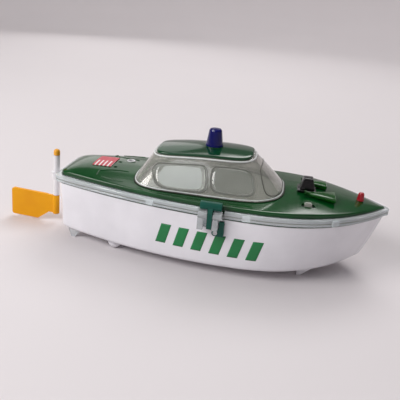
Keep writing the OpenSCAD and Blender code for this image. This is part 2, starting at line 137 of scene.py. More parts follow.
def moulded(name, light, dark, roughness, mottle_mm=26.0, grain_mm=0.9, grain=0.02, **extra):
    """Injection-moulded plastic: a slow drift of shade, a fine skin and uneven gloss.

    The real skin is 0.05 to 0.2 mm fine. It is drawn at 0.9 mm, so that it shows.
    """
    material = bpy.data.materials.new(name)
    material.use_nodes = True
    material.node_tree.nodes.clear()
    where = add(material, "ShaderNodeTexCoord").outputs["Object"]
    drift = add(material, "ShaderNodeTexNoise", {"Scale": 1 / (mottle_mm * MM), "Detail": 3.0},
                Vector=where)
    tone = add(material, "ShaderNodeValToRGB", Fac=drift.outputs["Fac"])
    tone.color_ramp.elements[0].position = 0.3
    tone.color_ramp.elements[0].color = linear(dark)
    tone.color_ramp.elements[1].position = 0.7
    tone.color_ramp.elements[1].color = linear(light)
    skin = add(material, "ShaderNodeTexNoise", {"Scale": 1 / (grain_mm * MM), "Detail": 2.0}, Vector=where)
    gloss = add(material, "ShaderNodeMapRange",
                {"From Min": 0.3, "From Max": 0.7, "To Min": roughness * 0.8,
                 "To Max": roughness * 1.25},
                Value=skin.outputs["Fac"])
    relief = add(material, "ShaderNodeBump", {"Strength": grain, "Distance": 0.2 * MM},
                 Height=skin.outputs["Fac"])
    shader = add(material, "ShaderNodeBsdfPrincipled", extra)
    add(material, "ShaderNodeOutputMaterial", Surface=shader.outputs["BSDF"])
    tie = material.node_tree.links.new
    tie(tone.outputs["Color"], shader.inputs["Base Color"])
    tie(gloss.outputs["Result"], shader.inputs["Roughness"])
    tie(relief.outputs["Normal"], shader.inputs["Normal"])
    material.diffuse_color = linear(light)
    return material


def drawn_metal(name, light, dark, roughness, line_mm=0.35):
    """Drawn or rolled metal: fine lines along X and a slow drift of shade.

    The real lines are under 0.1 mm wide. They are drawn at line_mm, so that they show.
    """
    material = moulded(name, light, dark, roughness, mottle_mm=9.0, grain_mm=line_mm, grain=0.08,
                       Metallic=1.0)
    nodes = material.node_tree.nodes
    where = next(n for n in nodes if n.bl_idname == "ShaderNodeTexCoord").outputs["Object"]
    skin = [n for n in nodes if n.bl_idname == "ShaderNodeTexNoise"][1]
    stretch = add(material, "ShaderNodeMapping", {"Scale": (0.08, 1.0, 1.0)}, Vector=where)
    material.node_tree.links.new(stretch.outputs["Vector"], skin.inputs["Vector"])
    return material


# Polished white ABS: cool white, a clear reflection and hardly any grain
WHITE_ABS = moulded("white_abs_hull", "ECEBF0", "E4E3E8", 0.20, grain=0.012)
# Moulded white acetal: waxy, with a softer reflection
WHITE_POM = moulded("white_acetal_fittings", "E9E8EA", "DEDDE0", 0.32)
# Polished deep green polystyrene: almost a mirror
DECK_GREEN = moulded("green_polystyrene_deck", "05491C", "033D16", 0.13, grain=0.008, IOR=1.46)
ROOF_GREEN = moulded("green_polystyrene_roof", "0C4426", "08391E", 0.10, grain=0.006, IOR=1.48)
# Moulded teal polypropylene: a dull, greasy sheen
TEAL_PP = moulded("teal_polypropylene_latch", "005547", "00463A", 0.36, **{"Specular IOR Level": 0.3})
# Moulded amber polypropylene: nearly matt, with no clear reflection
AMBER_PP = moulded("amber_polypropylene_rudder", "F0A800", "E89C00", 0.5, grain=0.02,
                   **{"Specular IOR Level": 0.3})
# Moulded orange polypropylene: a soft highlight
ORANGE_CAP = moulded("orange_polypropylene_cap", "F2AE22", "E79C14", 0.35)
# Clear polystyrene in a thick section: milky, with sharp highlights
CLEAR_RIM = moulded("clear_polystyrene_rim", "F0F4F6", "E6ECEE", 0.06, grain=0.003, IOR=1.45,
                    **{"Transmission Weight": 0.66})
# Clear polystyrene in a thin section: slightly grey
CLEAR_CANOPY = moulded("clear_polystyrene_canopy", "DAD9D4", "CFCEC8", 0.09, grain=0.004, IOR=1.4,
                       **{"Transmission Weight": 0.82, "Coat Weight": 0.4, "Coat Roughness": 0.04})
# Polished clear polystyrene: window-like, with bright reflections
CLEAR_PANE = moulded("polished_polystyrene_pane", "DDE1DE", "D4D8D5", 0.04, grain=0.003, IOR=1.4,
                     **{"Transmission Weight": 0.96, "Coat Weight": 0.8, "Coat Roughness": 0.02})
# Moulded bead in clear polystyrene, painted grey as shade: the clear bead looks dark because it bends the
# light away
PANE_BEAD_SHADE = moulded("polystyrene_bead_painted_shade", "8E908A", "7C7E77", 0.22, IOR=1.45,
                    **{"Transmission Weight": 0.2})
# Polished edge of clear polystyrene, painted near-white as a highlight: a bright line where the edge
# gathers the light
HIGHLIGHT_EDGE = moulded("polystyrene_edge_painted_highlight", "F2F5F5", "E6EAEA", 0.12, grain=0.003, IOR=1.5,
                      **{"Transmission Weight": 0.15})
# The shadow in a joint of green polystyrene: dark and dull
SEAM_GREEN = moulded("green_seam_line", "24402E", "1B3324", 0.4)
# Polished tinted polystyrene: deep colour, lit at the edges
BLUE_LENS = moulded("blue_tinted_lens", "040E7A", "030A5E", 0.07, grain=0.006, IOR=1.49,
                    **{"Transmission Weight": 0.2})
RED_LENS = moulded("red_tinted_lens", "C01428", "A00D20", 0.12, IOR=1.49,
                   **{"Transmission Weight": 0.25})
HORN_GREEN = moulded("translucent_green_horn", "06600C", "044C09", 0.12, IOR=1.49,
                     **{"Transmission Weight": 0.25})
# Blown glass: clear and warm
BULB_GLASS = moulded("clear_bulb_glass", "F4F0E0", "E8E4D4", 0.05, IOR=1.5,
                     **{"Transmission Weight": 0.9})
# Moulded black ABS: black with a soft highlight
BLACK_ABS = moulded("black_abs", "08080A", "040406", 0.22)
# Textured grey ABS: matt
GREY_ABS = moulded("grey_abs_floor", "71786D", "646B60", 0.45)
# Shrunk film on the dry cells: dark and glossy
CELL_SLEEVE = moulded("shrink_sleeve", "143038", "0E242B", 0.25)
# Moulded rubber: nearly black and matt, with a visible grain
SEAL_RUBBER = moulded("seal_rubber", "26211C", "1A1713", 0.62, grain=0.06)
# Drawn steel wire and rod: pale grey metal with fine lines
DRAWN_STEEL = drawn_metal("drawn_steel", "B8BABC", "A2A4A7", 0.28)
# Rolled, zinc-plated sheet: duller and a little darker
MOTOR_CAN = drawn_metal("rolled_zinc_steel", "A9ACAE", "94979A", 0.36)
# Pressed brass strip: warm yellow metal
BRASS_STRIP = drawn_metal("pressed_brass", "C9A35A", "B28C46", 0.3)
# Lacquered copper wire, wound: red-brown metal with lines 0.5 mm apart
COPPER_COIL = drawn_metal("lacquered_copper_wire", "B4683A", "96502A", 0.35, line_mm=0.5)
# Moulded grey nylon: pale and dull
CLEAT_PLATE = moulded("grey_nylon_cleat", "A3A59D", "92948C", 0.4)
# Screen-printed ink: flat green, duller than the hull
MARK_GREEN = moulded("screen_printed_green", "148045", "107039", 0.35)
# The clear mouldings cast no shadow, so that light passes through them
SHADOWLESS = (CLEAR_RIM, CLEAR_CANOPY, CLEAR_PANE)

# The deck label's bars: distance apart, the share of it that is pale, and the edge where they end
LABEL_PITCH = 4.2
LABEL_PALE = 0.38
LABEL_EDGE = -0.5


def printed_label():
    """Red film with plain pale bars over its starboard part."""
    material = moulded("printed_film_label", "C23A4B", "B53040", 0.42, mottle_mm=8.0)
    nodes = material.node_tree.nodes
    tie = material.node_tree.links.new
    where = next(n for n in nodes if n.bl_idname == "ShaderNodeTexCoord").outputs["Object"]
    split = add(material, "ShaderNodeSeparateXYZ", Vector=where)
    steps = add(material, "ShaderNodeMath", {"operation": "MULTIPLY", 1: 1 / (LABEL_PITCH * MM)},
                i0=split.outputs["X"])
    part = add(material, "ShaderNodeMath", {"operation": "FRACT"}, i0=steps.outputs[0])
    bar = add(material, "ShaderNodeMath", {"operation": "LESS_THAN", 1: LABEL_PALE}, i0=part.outputs[0])
    side = add(material, "ShaderNodeMath", {"operation": "LESS_THAN", 1: LABEL_EDGE * MM},
               i0=split.outputs["Y"])
    both = add(material, "ShaderNodeMath", {"operation": "MULTIPLY"}, i0=bar.outputs[0],
               i1=side.outputs[0])
    shader = next(n for n in nodes if n.bl_idname == "ShaderNodeBsdfPrincipled")
    red = shader.inputs["Base Color"].links[0].from_socket
    mix = add(material, "ShaderNodeMix", {"data_type": "RGBA"})
    mix.inputs[7].default_value = linear("E9DEDD")
    tie(both.outputs[0], mix.inputs[0])
    tie(red, mix.inputs[6])
    tie(mix.outputs[2], shader.inputs["Base Color"])
    return material


LABEL_FILM = printed_label()


# ---- mesh helpers -------------------------------------------------------------------

def finish_piece(name, bm, material, body, replaces=(), sharp=38, outward=True):
    """Turns a bmesh into a piece that rides on a body."""
    if outward:
        bmesh.ops.recalc_face_normals(bm, faces=bm.faces)
    mesh = bpy.data.meshes.new(name)
    bm.to_mesh(mesh)
    bm.free()
    for face in mesh.polygons:
        face.use_smooth = True
    mesh.set_sharp_from_angle(angle=radians(sharp))
    mesh.materials.append(material)
    piece = bpy.data.objects.new(name, mesh)
    bpy.context.scene.collection.objects.link(piece)
    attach(piece, body)
    if replaces:
        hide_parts(*replaces)
    piece.visible_shadow = material not in SHADOWLESS
    return piece


def first_ring(bm, spots):
    ring = bmesh.ops.create_circle(bm, segments=len(spots), radius=MM)["verts"]
    for vert, spot in zip(ring, spots):
        vert.co = spot
    return ring


def ring_edges(ring):
    pairs = zip(ring, ring[1:] + ring[:1])
    return [next(e for e in a.link_edges if e.other_vert(a) is b) for a, b in pairs]


def next_ring(bm, ring, spots):
    """Extrudes a ring's edges and moves the new ring to its spots."""
    out = bmesh.ops.extrude_edge_only(bm, edges=ring_edges(ring))
    fresh = {g for g in out["geom"] if isinstance(g, bmesh.types.BMVert)}
    moved = [next(e.other_vert(v) for e in v.link_edges if e.other_vert(v) in fresh) for v in ring]
    for vert, spot in zip(moved, spots):
        vert.co = spot
    return moved


def placed(points):
    """Millimetre points as places in the frame."""
    return [place(*point) for point in points]


def loft(loops, joined=False, capped=False):
    """A skin through loops of points; joined closes the last loop onto the first."""
    bm = bmesh.new()
    start = ring = first_ring(bm, placed(loops[0]))
    for points in loops[1:] + (loops[:1] if joined else []):
        ring = next_ring(bm, ring, placed(points))
    if capped:
        bmesh.ops.edgeloop_fill(bm, edges=ring_edges(start))
        bmesh.ops.edgeloop_fill(bm, edges=ring_edges(ring))
    bmesh.ops.remove_doubles(bm, verts=bm.verts, dist=0.002 * MM)
    return bm


def round_edges(bm, verts, radius_mm, segments=3):
    """Rounds every edge between these vertices."""
    edges = [e for e in bm.edges if e.verts[0] in verts and e.verts[1] in verts]
    bmesh.ops.bevel(bm, geom=edges, offset=radius_mm * MM, affect="EDGES", segments=segments,
                    profile=0.5, material=-1)


def disc(bm, spot, low_radius, high_radius, depth, segments=32, turn=Matrix.Identity(4)):
    """A round bar or a cone on Z, or on the axis that the turn takes Z to."""
    bmesh.ops.create_cone(bm, cap_ends=True, segments=segments, radius1=low_radius * MM,
                          radius2=high_radius * MM, depth=depth * MM,
                          matrix=Matrix.Translation(place(*spot)) @ turn)


def block(bm, low, high, round_mm, twist=0.0):
    """A box between two corners with rounded edges, turned about Z through its middle."""
    size = [h - l for l, h in zip(low, high)]
    made = bmesh.ops.create_cube(bm, size=1.0)["verts"]
    bmesh.ops.scale(bm, verts=made, vec=[length * MM for length in size])
    bmesh.ops.rotate(bm, verts=made, cent=(0, 0, 0), matrix=Matrix.Rotation(twist, 3, "Z"))
    bmesh.ops.translate(bm, verts=made, vec=place(*[(l + h) / 2 for l, h in zip(low, high)]))
    round_edges(bm, made, round_mm)


def bead(name, points, radius, material, body, closed=True):
    """A thin round bead along a path."""
    curve = bpy.data.curves.new(name, "CURVE")
    curve.dimensions = "3D"
    curve.bevel_depth = radius * MM
    curve.bevel_resolution = 3
    line = curve.splines.new("POLY")
    line.points.add(len(points) - 1)
    for spot, point in zip(line.points, points):
        spot.co = (*point, 1)
    line.use_cyclic_u = closed
    holder = bpy.data.objects.new(name + "_path", curve)
    bpy.context.scene.collection.objects.link(holder)
    mesh = bpy.data.meshes.new_from_object(holder)
    bpy.data.objects.remove(holder)
    bm = bmesh.new()
    bm.from_mesh(mesh)
    bpy.data.meshes.remove(mesh)
    if not closed:
        bmesh.ops.holes_fill(bm, edges=bm.edges)
    return finish_piece(name, bm, material, body)


def surface_of(piece):
    bm = bmesh.new()
    bm.from_mesh(piece.data)
    tree = BVHTree.FromBMesh(bm)
    bm.free()
    return tree


def drape(tree, point, direction, lift):
    """Where a ray from this point (mm) meets a surface, lifted towards where it came from."""
    heading = Vector(direction)
    spot = tree.ray_cast(place(*point), heading)[0]
    return None if spot is None else spot - heading * lift * MM


def cut(piece, cutter):
    """Takes the cutter's shape out of a piece."""
    mesh = bpy.data.meshes.new("cutter")
    bmesh.ops.recalc_face_normals(cutter, faces=cutter.faces)
    cutter.to_mesh(mesh)
    cutter.free()
    tool = bpy.data.objects.new("cutter", mesh)
    bpy.context.scene.collection.objects.link(tool)
    change = piece.modifiers.new("cut", "BOOLEAN")
    change.object = tool
    change.operation = "DIFFERENCE"
    change.solver = "EXACT"
    done = bpy.data.meshes.new_from_object(piece.evaluated_get(bpy.context.evaluated_depsgraph_get()))
    piece.modifiers.clear()
    piece.data = done
    bpy.data.objects.remove(tool)


def rounded(points, closed=True):
    """A smooth path through points, by Catmull-Rom steps."""
    n = len(points)
    path = []
    for i in range(n if closed else n - 1):
        near = [(i + k) % n if closed else min(n - 1, max(0, i + k)) for k in (-1, 0, 1, 2)]
        p = [points[k] for k in near]
        for j in range(CURVE_STEPS):
            t = j / CURVE_STEPS
            path.append(tuple(0.5 * (2 * b + (c - a) * t + (2 * a - 5 * b + 4 * c - d) * t * t
                                     + (3 * b - a - 3 * c + d) * t ** 3) for a, b, c, d in zip(*p)))
    return path


# ---- outlines -----------------------------------------------------------------------

def spaced(i):
    """Shares of the length for the steps of a side, closer together towards both ends."""
    return (1 - cos(pi * i / SIDE_STEPS)) / 2


def half_at(t, inset):
    """Half the beam at a share of the length, this far in from the rim's edge."""
    wide = RIM_WIDTH / 2 - inset
    stern = TRANSOM_WIDTH / 2 - inset
    if t < WIDEST:
        return wide - (wide - stern) * ((WIDEST - t) / WIDEST) ** 2
    return wide * max(0.0, 1 - ((t - WIDEST) / (1 - WIDEST)) ** 2.42) ** 0.94


def corner_cut(x):
    return 0.0 if x >= CORNER else CORNER - sqrt(max(0.0, CORNER * CORNER - (CORNER - x) ** 2))


def outline(inset, stern=None, bow=None, height=None):
    """Starboard side from the transom to the bow, then port back to the transom.

    The bow ends in a small blunt nose, which gets smaller as the outline moves in.
    """
    stern = inset if stern is None else stern
    bow = inset if bow is None else bow
    nose = max(2.0, 5.4 - 0.5 * inset)
    side = []
    for i in range(SIDE_STEPS + 1):
        t = spaced(i)
        x = stern + (RIM_LENGTH - stern - bow) * t
        left = RIM_LENGTH - bow - x
        blunt = sqrt(2 * nose * left - left * left) if 0 < left < nose else 0.0
        side.append((x, max(0.25, blunt, half_at(t, inset) - corner_cut(x - stern))))
    lift = height if callable(height) else (lambda x, y: height)
    return [(x, -y, lift(x, y)) for x, y in side] + [(x, y, lift(x, y)) for x, y in reversed(side)]


def deck_band(x):
    """How far the deck's edge stands above the rim."""
    return lookup(x, [(4.8, 3), (16, 4.2), (70, 4.2), (110, 3.6), (200, 3.6), (245, 4.2), (290, 2.5),
                      (315.2, 0.3)])


def deck_crown(x):
    """How far the middle of the deck stands above its edge, with the table's corners smoothed."""
    spots = [(4.8, 0), (10, 2.6), (18, 4.6), (30, 5.7), (46, 6), (80, 5), (105, 0.8), (200, 0.6),
             (224, 2.2), (242, 3.1), (262, 3), (292, 1.8), (308, 0.9), (315.2, 0)]
    return (lookup(x - 3, spots) + 2 * lookup(x, spots) + lookup(x + 3, spots)) / 4


def deck_half(x):
    along = (x - RIM_WIDE) / (RIM_LENGTH - 2 * RIM_WIDE)
    return half_at(along, RIM_WIDE) - corner_cut(x - RIM_WIDE)


def deck_height(x, y):
    across = min(1.0, abs(y) / max(0.3, deck_half(min(315.0, max(4.9, x)))))
    return DECK_Z + deck_band(x) + deck_crown(x) * (1 - across ** 2.2)


def roof_height(x, y):
    return ROOF_TOP - 0.004 * y * y - 0.0012 * (x - ROOF_CREST) ** 2


def cabin_plan(aft, fore, half, square_aft, square_fore):
    """A rounded rectangle; a higher square number makes that end's corners tighter."""
    middle = (aft + fore) / 2
    reach = (fore - aft) / 2
    points = []
    for i in range(CABIN_STEPS):
        c = cos(2 * pi * i / CABIN_STEPS)
        s = sin(2 * pi * i / CABIN_STEPS)
        e = 2 / (square_fore if c > 0 else square_aft)
        points.append((middle + reach * (1 if c > 0 else -1) * abs(c) ** e,
                       half * (1 if s > 0 else -1) * abs(s) ** e))
    return points


# ---- hull ---------------------------------------------------------------------------

def hull_bottom(x):
    t = x / RIM_LENGTH
    return 9.5 - 5 * t + 8.5 * t * t


def stem(z):
    """How far the bow is drawn in at this height."""
    return lookup(z, [(12, 21.5), (17, 18.5), (24, 15.4), (37.4, 10.6), (53.7, 5.5), (60, 3.6)])


def hull_ring(f, tuck=0.0, lift=CHINE):
    """f = 1 is the top edge and f = 0 the top of the rounded chine, which tuck and lift run round."""
    def height(x, y):
        return hull_bottom(x) + lift + f * (HULL_TOP - HULL_GAP - hull_bottom(x) - CHINE)

    inset = 1.6 + 0.8 * (1 - f) + tuck
    stern = 3.7 + 1.2 * (1 - f) + tuck
    return outline(inset, stern, stem(height(RIM_LENGTH, 0)) + tuck, height)


def make_hull():
    rings = [hull_ring(f) for f in (1, 0.985, 0.85, 0.7, 0.55, 0.4, 0.25, 0.1, 0)]
    for degrees in (12, 24, 36, 48, 60, 75, 90):
        turn = radians(degrees)
        rings.append(hull_ring(0, CHINE * (1 - cos(turn)), CHINE * (1 - sin(turn))))
    floor = rings[-1]
    for width in (0.75, 0.5, 0.25, 0):
        rings.append([(x, y * width, z) for x, y, z in floor])
    hull = finish_piece("hull_moulding", loft(rings), WHITE_ABS, "hull", ["hull_shell"],
                        sharp=50)
    wall = hull.modifiers.new("wall", "SOLIDIFY")
    wall.thickness = HULL_WALL * MM
    wall.offset = -1
    return hull


def make_rim():
    """A grooved ring with a ledge inside for the deck, cut away for the two latches."""
    section = [(0.4, 60.05), (0, 60.4), (0, 61.7), (0.5, 62.3), (0.5, 62.8), (0.1, 63.3), (0, 65.4),
               (0.5, 66), (1.4, 66.1), (3.9, 66), (4.5, 65.7), (4.5, 62.4), (9.8, 62.4), (9.8, 60.05)]
    ring = loft([outline(inset, height=z) for inset, z in section], joined=True)
    rim = finish_piece("rim_moulding", ring, CLEAR_RIM, "hull", ["gunwale_rim"],
                       sharp=30)
    aft, fore = LATCH_GAP
    for side, _ in SIDES:
        # The outer cut goes down past the rim, and the inner one only to its ledge
        for inner, base in ((60.8, 58), (57.2, 62.45)):
            cutter = bmesh.new()
            low, high = sorted((side * inner, side * 66))
            block(cutter, (aft, low, base), (fore, high, 68), 0.3)
            cut(rim, cutter)


def cabin_hole():
    """The deck's hole under the cabin, squarer aft than forward, in step with an outline."""
    side = []
    for i in range(SIDE_STEPS + 1):
        t = spaced(i)
        p = 6 if t < 0.5 else 3.2
        half = HOLE_HALF * max(0.0, 1 - abs(2 * t - 1) ** p) ** (1 / p)
        side.append((HOLE_AFT + HOLE_LENGTH * t, max(0.25, half)))
    return [(x, -y) for x, y in side] + list(reversed(side))


def make_deck():
    hole = cabin_hole()

    def ring(s, inset, drop):
        """A ring on the deck, from its edge at s = 0 to the cabin's hole at s = 1."""
        edge = outline(inset, height=0)
        spots = [(a[0] * (1 - s) + b[0] * s, a[1] * (1 - s) + b[1] * s) for a, b in zip(edge, hole)]
        return [(x, y, deck_height(x, y) - drop) for x, y in spots]

    loops = [outline(RIM_WIDE, height=DECK_FOOT), outline(RIM_WIDE, height=DECK_Z)]
    for inset, drop in ((0.0, DECK_ROUND), (0.15, 0.55), (0.5, 0.18), (DECK_ROUND, 0.0)):
        edge = outline(RIM_WIDE + inset, height=0)
        loops.append([(x, y, max(DECK_Z + 0.05, deck_height(x, y) - drop)) for x, y, _ in edge])
    loops += [ring(s, RIM_WIDE + DECK_ROUND, 0) for s in (0.05, 0.11, 0.2, 0.32, 0.45, 0.6, 0.8, 1)]
    loops += [ring(s, RIM_WIDE + DECK_WALL, 2) for s in (1, 0.7, 0.4, 0.15, 0)]
    loops.append(outline(RIM_WIDE + DECK_WALL, height=DECK_FOOT))
    deck = finish_piece("deck_moulding", loft(loops, joined=True), DECK_GREEN, "deck", ["deck_shell"],
                        sharp=45)
    # The vent's hole, the plug socket's two holes and the wells round the cleats
    cutter = bmesh.new()
    for x, y, radius in ((65, 11, 4.02), (56, 3, 1.9), (56, -12, 1.9)):
        disc(cutter, (x, y, 74), radius, radius, 20)
    for y in (-CLEAT_Y, CLEAT_Y):
        block(cutter, (237.2, y - 3.1, 64), (249, y + 3.1, 78), 1.2)
    cut(deck, cutter)
    lugs = bmesh.new()
    aft, fore = LUG_ENDS
    for side, _ in SIDES:
        low, high = sorted((side * 55.5, side * 59.5))
        block(lugs, (aft, low, 63.4), (fore, high, 67.3), 0.4)
    finish_piece("deck_latch_lugs", lugs, DECK_GREEN, "deck")
    return deck


# ---- cabin --------------------------------------------------------------------------

def cabin_ring(v, inset=0.0, lower=0.0):
    """v = 0 is the base on the deck and v = 1 the edge under the roof."""
    aft_rake = lookup(v, [(0, 0), (0.05, 0.7), (0.3, 3.6), (0.56, 7.6), (0.8, 11.6), (1, 15.5)])
    fore_rake = lookup(v, [(0, 0), (0.05, 1), (0.3, 7.5), (0.56, 15.6), (0.8, 23.6), (1, 31.5)])
    side_rake = lookup(v, [(0, 0), (0.05, 0.5), (0.3, 4.4), (0.56, 9.3), (0.8, 14.4), (1, 19.8)])
    aft = CABIN_AFT + aft_rake + inset
    fore = CABIN_FORE - fore_rake - inset
    half = CABIN_HALF - side_rake - inset
    ring = []
    for x, y in cabin_plan(aft, fore, half, 6 - 1.5 * v, 3.2 + 0.4 * v):
        low = deck_height(x, y) + 0.5
        top = roof_height(x, y) - 2.5
        ring.append((x, y, low + (top - low) * v - lower))
    return ring


def make_canopy():
    levels = (0, 0.025, 0.06, 0.15, 0.3, 0.45, 0.6, 0.75, 0.9, 1)
    loops = [cabin_ring(v) for v in levels] + [cabin_ring(v, CABIN_WALL) for v in reversed(levels)]
    canopy = finish_piece("canopy_moulding", loft(loops, joined=True), CLEAR_CANOPY, "deck",
                          ["cabin_canopy"], sharp=50)
    skin = surface_of(canopy)
    # Station and height round the two panes of a side, and width and height round the windscreen
    aft_pane = [(99.5, 82), (98.6, 86), (101, 89.6), (106, 91.4), (124, 93.4), (143, 94.6), (148, 93),
                (150.4, 88), (151.8, 79), (150, 75), (144, 73.2), (118, 72.6), (108, 73.8), (102.5, 77)]
    fore_pane = [(153.4, 90.5), (155.6, 94), (161, 95.2), (174, 95.4), (184, 94.4), (189.6, 91),
                 (192.8, 84.5), (194.4, 79), (192.6, 75.6), (187, 74.4), (172, 74.6), (161, 75.2),
                 (156.6, 77), (154, 82)]
    screen = [(0, 95.4), (10, 95.2), (17.6, 93.4), (22.6, 89.2), (27.2, 84), (31.2, 78.8), (32, 75.4),
              (28, 74.2), (15, 74.6), (0, 74.8)]
    for side, tag in SIDES:
        for name, corners in (("aft", aft_pane), ("fore", fore_pane)):
            edge = rounded(corners)
            path = [drape(skin, (x, side * ABEAM, z), (0, -side, 0), 0.1) for x, z in edge]
            # The grey bead round each pane is painted shade, where the clear bead bends the light away
            bead(f"pane_bead_{name}_{tag}", path, 0.4, PANE_BEAD_SHADE, "deck")
            pane_panel(f"pane_{name}_{tag}", skin, edge, side)
    screen += [(-y, z) for y, z in reversed(screen[1:-1])]
    path = [drape(skin, (AHEAD, y, z), (-1, 0, 0), 0.05) for y, z in rounded(screen)]
    bead("windscreen_line", path, 0.35, SEAL_RUBBER, "deck")
    bead("canopy_gasket", placed(cabin_ring(0.0, -0.1, 0.1)), 0.55, SEAL_RUBBER, "deck")
    # Two near-white beads at the canopy's top and foot: painted highlights along its edges
    bead("canopy_top_highlight", placed(cabin_ring(0.97, -0.15)), 0.8, HIGHLIGHT_EDGE, "deck")
    bead("canopy_foot_highlight", placed(cabin_ring(0.045, 0.1)), 0.5, HIGHLIGHT_EDGE, "deck")


def pane_panel(name, skin, path, side):
    """A polished pane that stands just proud of the canopy inside its bead."""
    middle = [sum(p[k] for p in path) / len(path) for k in (0, 1)]
    loops = []
    for s in (0.97, 0.8, 0.6, 0.4, 0.2, 0.04):
        inner = [(middle[0] + (x - middle[0]) * s, middle[1] + (z - middle[1]) * s) for x, z in path]
        loops.append([drape(skin, (x, side * ABEAM, z), (0, -side, 0), 0.25) for x, z in inner])
    bm = bmesh.new()
    ring = first_ring(bm, loops[0])
    for spots in loops[1:]:
        ring = next_ring(bm, ring, spots)
    bmesh.ops.edgeloop_fill(bm, edges=ring_edges(ring))
    bmesh.ops.recalc_face_normals(bm, faces=bm.faces)
    if sum(f.normal.y * f.calc_area() for f in bm.faces) * side < 0:
        bmesh.ops.reverse_faces(bm, faces=bm.faces)
    pane = finish_piece(name, bm, CLEAR_PANE, "deck", outward=False)
    sheet = pane.modifiers.new("sheet", "SOLIDIFY")
    sheet.thickness = 0.3 * MM
    sheet.offset = -1


def make_roof():
    """A thin panel with a rounded edge, and the collar that the beacon stands in."""
    def ring(s, lift):
        plan = cabin_plan(ROOF_MIDDLE - 46 * s, ROOF_MIDDLE + 45.5 * s, ROOF_HALF * s, 5, 4)
        return [(x, y, roof_height(x, y) + lift) for x, y in plan]

    loops = [ring(s, -2.3) for s in (0.03, 0.3, 0.6, 0.9, 0.985)]
    loops += [ring(s, lift) for s, lift in ((0.997, -2.1), (1, -1.7), (1, -0.9), (0.995, -0.45),
                                            (0.985, -0.15), (0.965, 0))]
    loops += [ring(s, 0) for s in (0.92, 0.8, 0.65, 0.5, 0.35, 0.2, 0.1, 0.03)]
    finish_piece("roof_moulding", loft(loops, capped=True), ROOF_GREEN, "deck", ["roof_panel"],
                 sharp=60)
    collar = bmesh.new()
    disc(collar, (150, 0, 105.35), 8.8, 8.6, 1.6, segments=64)
    finish_piece("beacon_collar", collar, ROOF_GREEN, "deck")


# ---- deck fittings ------------------------------------------------------------------

def make_horn(side, node, reach):
    """A flared box as far forward as the reach, with a round boss behind it and a black block in its mouth
    as painted shade in the opening.
    """
    bm = bmesh.new()
    y = side * HORN_Y
    flare = HORN_FLARE * (reach - HORN_AFT)
    made = bmesh.ops.create_cube(bm, size=1.0)["verts"]
    for v in made:
        low = v.co.z < 0
        if v.co.x < 0:
            v.co = place(HORN_AFT, y + v.co.y * HORN_WIDTH, 74.2 if low else 77)
        else:
            v.co = place(reach, y + v.co.y * (HORN_WIDTH + flare), 72.9 if low else 77.2)
    round_edges(bm, made, 0.9)
    turn = Matrix.Rotation(pi / 2, 4, "Y")
    disc(bm, (240.4, y, 76.3), 2.5, 2.1, 1.6, turn=turn)
    disc(bm, (242.6, y, 76.3), 1.4, 1.4, 5, segments=24, turn=turn)
    finish_piece(node + "_moulding", bm, HORN_GREEN, "deck", [node], sharp=30)
    # A black block at the horn's front: painted shade in its mouth
    mouth_shade = bmesh.new()
    half = 1.4 + flare / 2
    block(mouth_shade, (reach - 0.6, y - half, 73.8), (reach + 0.2, y + half, 76.3), 0.38)
    finish_piece(node + "_mouth", mouth_shade, BLACK_ABS, "deck")


def make_knob():
    """A flat base, a grip that narrows upwards and a stem down into the switch."""
    bm = bmesh.new()
    block(bm, (233, -8.6, 73.6), (250.6, 8.6, 75.8), 0.8)
    made = bmesh.ops.create_cube(bm, size=1.0)["verts"]
    for v in made:
        length, width, height = (14.4, 14.6, 75.4) if v.co.z < 0 else (9, 9.8, 86.4)
        v.co = place(242 + v.co.x * length, v.co.y * width, height)
    round_edges(bm, made, 1.1, segments=4)
    block(bm, (239, -2.2, 69.6), (245, 2.2, 74.2), 0.3)
    finish_piece("switch_knob_moulding", bm, BLACK_ABS, "switch", ["switch_knob"],
                 sharp=30)


def make_marking(hull):
    """A row of plain slanted bars, printed on each side of the hull."""
    skin = surface_of(hull)
    for side, tag in SIDES:
        bm = bmesh.new()
        for k in range(BARS):
            start = BARS_START + BAR_PITCH * k
            foot = BAR_FOOT - BAR_FALL * (start - BARS_START)
            patch = bmesh.ops.create_grid(bm, x_segments=8, y_segments=10, size=0.5)["verts"]
            for v in patch:
                u = v.co.x + 0.5
                w = v.co.y + 0.5
                spot = (start + BAR_WIDTH * u + BAR_SLANT * w, side * ABEAM, foot + BAR_HEIGHT * w)
                v.co = drape(skin, spot, (0, -side, 0), 0.12)
        for f in bm.faces:
            if f.normal.y * side < 0:
                f.normal_flip()
        plates = finish_piece("side_bars_" + tag, bm, MARK_GREEN, "hull", outward=False)
        film = plates.modifiers.new("film", "SOLIDIFY")
        film.thickness = 0.1 * MM
        film.offset = -1


def make_rim_clips():
    """Three flat clips a side, each turned to follow the rim."""
    bm = bmesh.new()
    for x, lean in ((103, 0.18), (191, 0.0), (268, -0.62)):
        for side, _ in SIDES:
            y = side * (half_at(x / RIM_LENGTH, 0) + 0.2)
            block(bm, (x - 3.4, y - 0.7, 60.4), (x + 3.4, y + 0.7, 65.6), 0.35, twist=side * lean)
    finish_piece("rim_clips", bm, CLEAR_RIM, "hull")


